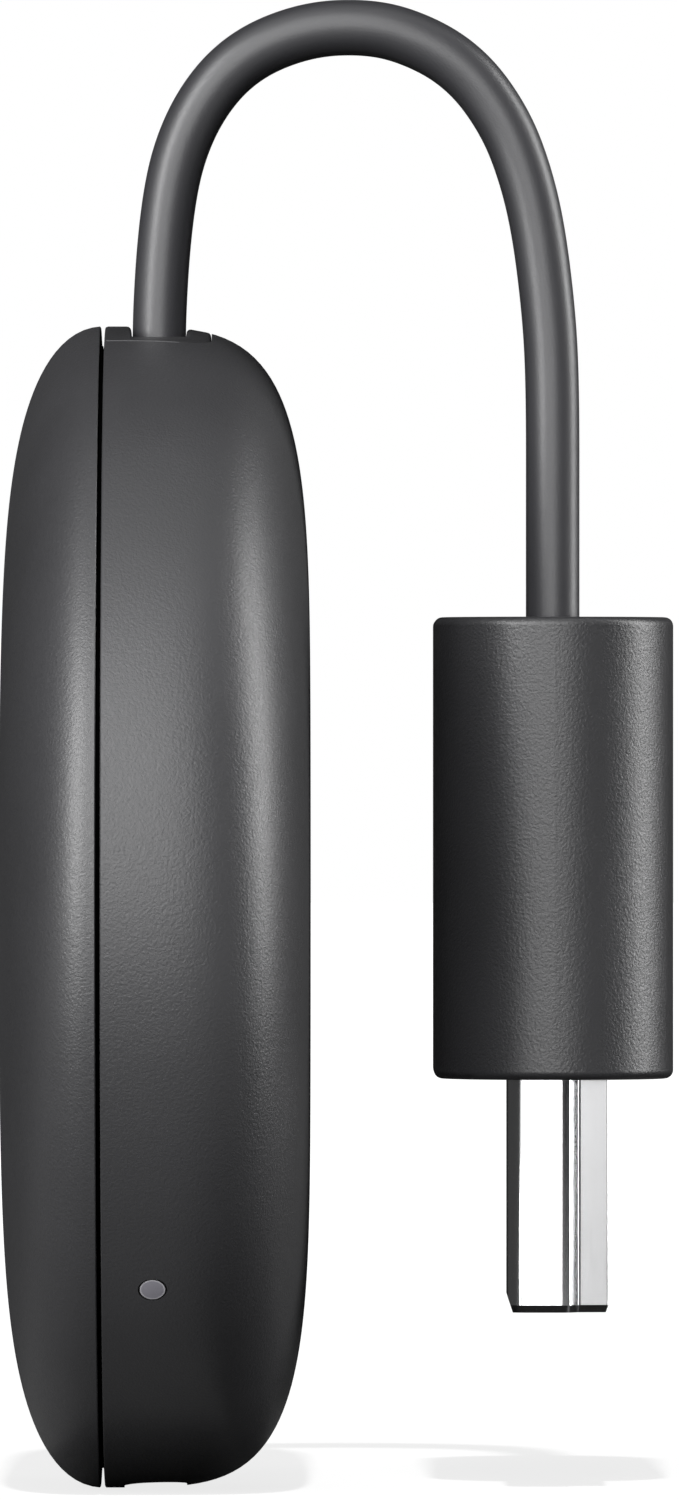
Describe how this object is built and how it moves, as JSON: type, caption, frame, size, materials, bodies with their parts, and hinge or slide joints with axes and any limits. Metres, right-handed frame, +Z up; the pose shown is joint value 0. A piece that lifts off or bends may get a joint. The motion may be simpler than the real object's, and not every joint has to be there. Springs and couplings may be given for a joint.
{
  "type": "streaming media player",
  "caption": "Round streaming media puck with a short captive flat video lead and plug, a power socket in the rim, a status light and a sprung reset button.",
  "frame": {"origin": "lowest point of the rim, halfway through the case's thickness, with the case standing on its rim", "axes": "+X along the case axis, out of the rear shell; +Z up, from the power socket to where the lead leaves; +Y towards the reset button's side"},
  "size_m": [0.0299, 0.0518, 0.0663],
  "materials": {
    "case_plastic": "charcoal, fine leathery moulded grain, satin sheen",
    "collar_plastic": "charcoal, smoother than the case",
    "housing_plastic": "charcoal, fine leathery moulded grain, satin sheen",
    "lead_jacket": "charcoal soft jacket, fine grain",
    "plug_plating": "bright nickel plating",
    "plated_copper": "thin gold plating",
    "tinned_sheet": "tinned stamped sheet",
    "spreader_metal": "dull die-cast metal",
    "screw_steel": "zinc-plated",
    "board_laminate": "green solder mask",
    "chip_resin": "black moulded resin",
    "thermal_pad": "soft filled silicone, pale blue",
    "ferrite": "dark grey ferrite",
    "ceramic": "tan ceramic",
    "black_insulator": "black glass-filled nylon",
    "led_resin": "clear resin on a white body",
    "milky_lens": "unlit milky grey window",
    "white_plastic": "white acetal",
    "wire_insulation": "thin extruded insulation",
    "inner_mould": "ivory hot-melt moulding"
  },
  "bodies": {
    "puck": {"front_cover": "case_plastic", "rear_shell": "case_plastic", "cable_collar": "collar_plastic", "main_board": "board_laminate", "soc_chip": "chip_resin", "soc_thermal_pad": "thermal_pad", "memory_chip_left": "chip_resin", "memory_chip_right": "chip_resin", "flash_chip": "chip_resin", "radio_chip": "chip_resin", "power_chip": "chip_resin", "inductors": "ferrite", "capacitors": "ceramic", "crystals": "tinned_sheet", "antenna_left": "plated_copper", "antenna_right": "plated_copper", "front_shield_frame": "tinned_sheet", "front_shield_lid": "tinned_sheet", "front_thermal_pad": "thermal_pad", "front_heat_spreader": "spreader_metal", "rear_shield_frame": "tinned_sheet", "rear_shield_lid": "tinned_sheet", "rear_thermal_pad": "thermal_pad", "rear_heat_spreader": "spreader_metal", "socket_shell": "tinned_sheet", "socket_tongue": "black_insulator", "socket_contacts": "plated_copper", "status_led": "led_resin", "light_pipe": "milky_lens", "switch_body": "chip_resin", "lead_clamp": "tinned_sheet", "clamp_screws": "screw_steel", "lead_wires": "wire_insulation", "board_screws": "screw_steel", "lead_cable": "lead_jacket", "plug_housing": "housing_plastic", "plug_inner_mould": "inner_mould", "plug_can": "tinned_sheet", "plug_crimp": "tinned_sheet", "plug_wires": "wire_insulation", "plug_insulator": "black_insulator", "plug_contacts": "plated_copper", "plug_shell": "plug_plating"},
    "button": {"reset_button": "case_plastic", "switch_plunger": "white_plastic"}
  },
  "joints": [
    {"name": "reset_press", "type": "slide", "parent": "puck", "child": "button", "axis": [0, -0.7604, 0.6494], "range_m": [0, 0.0003], "stiffness_N_per_m": 3000, "springref_m": -0.0001}
  ]
}
